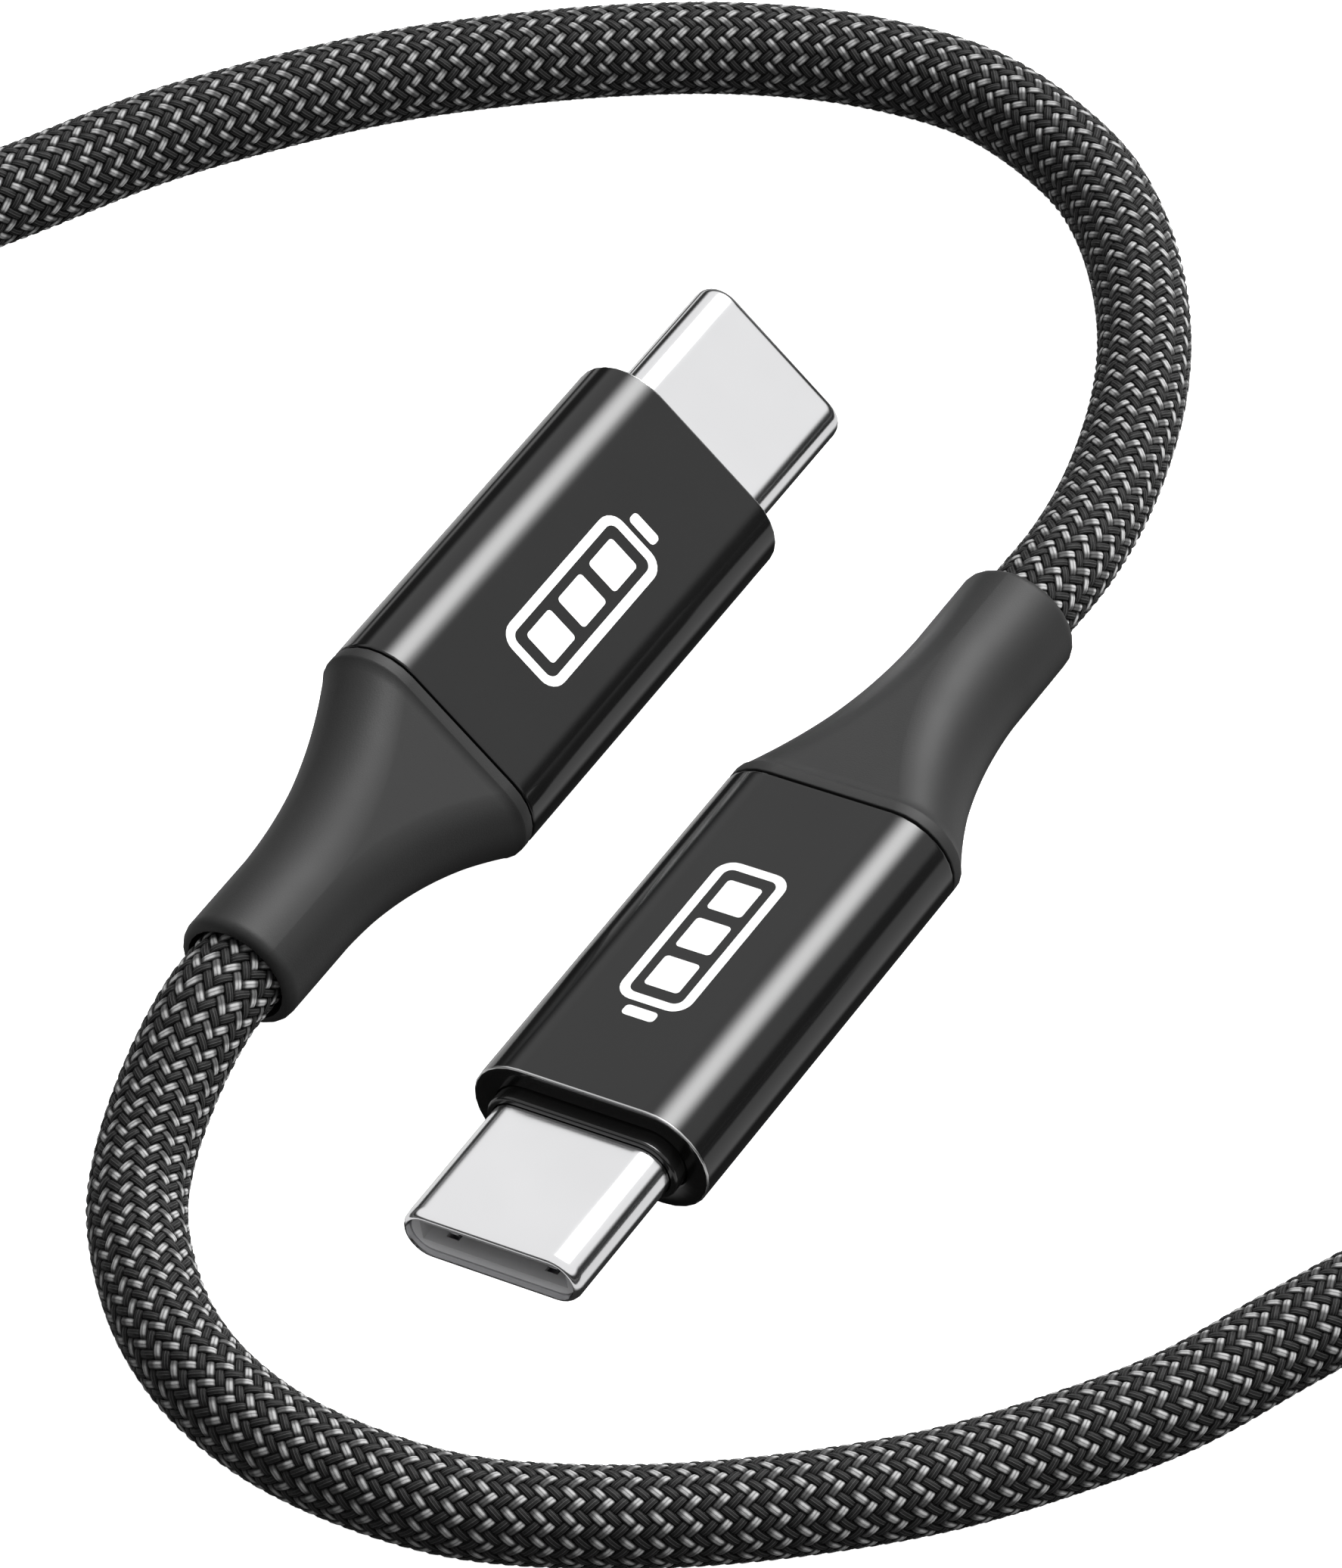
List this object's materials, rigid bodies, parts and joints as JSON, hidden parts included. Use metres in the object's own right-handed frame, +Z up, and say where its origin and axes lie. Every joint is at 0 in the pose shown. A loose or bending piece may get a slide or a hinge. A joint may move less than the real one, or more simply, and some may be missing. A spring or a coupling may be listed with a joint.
{
  "type": "charging cable",
  "caption": "Braided charging cable with a reversible oval metal plug, gloss sleeve and rubber boot on each end, spare length coiled in a strap.",
  "frame": {"origin": "On the surface that the plugs rest on, under the middle of the box round the two plugs.", "axes": "+Z up, +Y along the plugs, towards the tip of plug A; plug B points the other way; the coil lies on the +X side."},
  "size_m": [0.1452, 0.0992, 0.0103],
  "materials": {
    "plug_steel": "polished",
    "spring_steel": "bright",
    "insert_plastic": "satin grey",
    "contact_gold": "gold plated",
    "card_green": "solder mask",
    "chip_black": "matt",
    "shield_tin": "tin plated",
    "mould_plastic": "matt",
    "crimp_copper": "plain copper",
    "wire_red": "satin",
    "wire_black": "satin",
    "wire_green": "satin",
    "wire_white": "satin",
    "collar_gloss": "gloss",
    "sleeve_gloss": "gloss black",
    "boot_rubber": "soft matt",
    "cord_braid": "woven yarn, dark with light spots",
    "strap_fabric": "hook-and-loop pile"
  },
  "bodies": {
    "cable": {"plug_shell_a": "plug_steel", "contact_insert_a": "insert_plastic", "contact_wafer_upper_a": "contact_gold", "contact_wafer_lower_a": "contact_gold", "ground_spring_upper_a": "spring_steel", "ground_spring_lower_a": "spring_steel", "latch_bridge_a": "spring_steel", "circuit_card_a": "card_green", "marker_chip_a": "chip_black", "shield_half_upper_a": "shield_tin", "shield_half_lower_a": "shield_tin", "inner_mould_a": "mould_plastic", "crimp_ferrule_a": "crimp_copper", "wire_power_a": "wire_red", "wire_ground_a": "wire_black", "wire_data_positive_a": "wire_green", "wire_data_negative_a": "wire_white", "front_collar_a": "collar_gloss", "housing_sleeve_a": "sleeve_gloss", "strain_relief_boot_a": "boot_rubber", "cable_end_a": "cord_braid", "plug_shell_b": "plug_steel", "contact_insert_b": "insert_plastic", "contact_wafer_upper_b": "contact_gold", "contact_wafer_lower_b": "contact_gold", "ground_spring_upper_b": "spring_steel", "ground_spring_lower_b": "spring_steel", "latch_bridge_b": "spring_steel", "circuit_card_b": "card_green", "marker_chip_b": "chip_black", "shield_half_upper_b": "shield_tin", "shield_half_lower_b": "shield_tin", "inner_mould_b": "mould_plastic", "crimp_ferrule_b": "crimp_copper", "wire_power_b": "wire_red", "wire_ground_b": "wire_black", "wire_data_positive_b": "wire_green", "wire_data_negative_b": "wire_white", "front_collar_b": "collar_gloss", "housing_sleeve_b": "sleeve_gloss", "strain_relief_boot_b": "boot_rubber", "cable_end_b": "cord_braid", "cord_run_a": "cord_braid", "cord_coil": "cord_braid", "cord_run_b": "cord_braid", "coil_strap": "strap_fabric"},
    "latch_right_a": {"latch_arm_right_a": "spring_steel"},
    "latch_left_a": {"latch_arm_left_a": "spring_steel"},
    "latch_right_b": {"latch_arm_right_b": "spring_steel"},
    "latch_left_b": {"latch_arm_left_b": "spring_steel"}
  },
  "joints": [
    {"name": "latch_right_a_flex", "type": "hinge", "parent": "cable", "child": "latch_right_a", "pos_m": [-0.00563, 0.01415, 0.00233], "axis": [-0.6157, 0, -0.788], "range_deg": [0, 2], "stiffness_Nm_per_rad": 0.02},
    {"name": "latch_left_a_flex", "type": "hinge", "parent": "cable", "child": "latch_left_a", "pos_m": [-0.01072, 0.01415, 0.0063], "axis": [0.6157, 0, 0.788], "range_deg": [0, 2], "stiffness_Nm_per_rad": 0.02},
    {"name": "latch_right_b_flex", "type": "hinge", "parent": "cable", "child": "latch_right_b", "pos_m": [0.00442, -0.01415, 0.00245], "axis": [0.1736, 0, -0.9848], "range_deg": [0, 2], "stiffness_Nm_per_rad": 0.02},
    {"name": "latch_left_b_flex", "type": "hinge", "parent": "cable", "child": "latch_left_b", "pos_m": [0.01077, -0.01415, 0.00357], "axis": [-0.1736, 0, 0.9848], "range_deg": [0, 2], "stiffness_Nm_per_rad": 0.02}
  ]
}
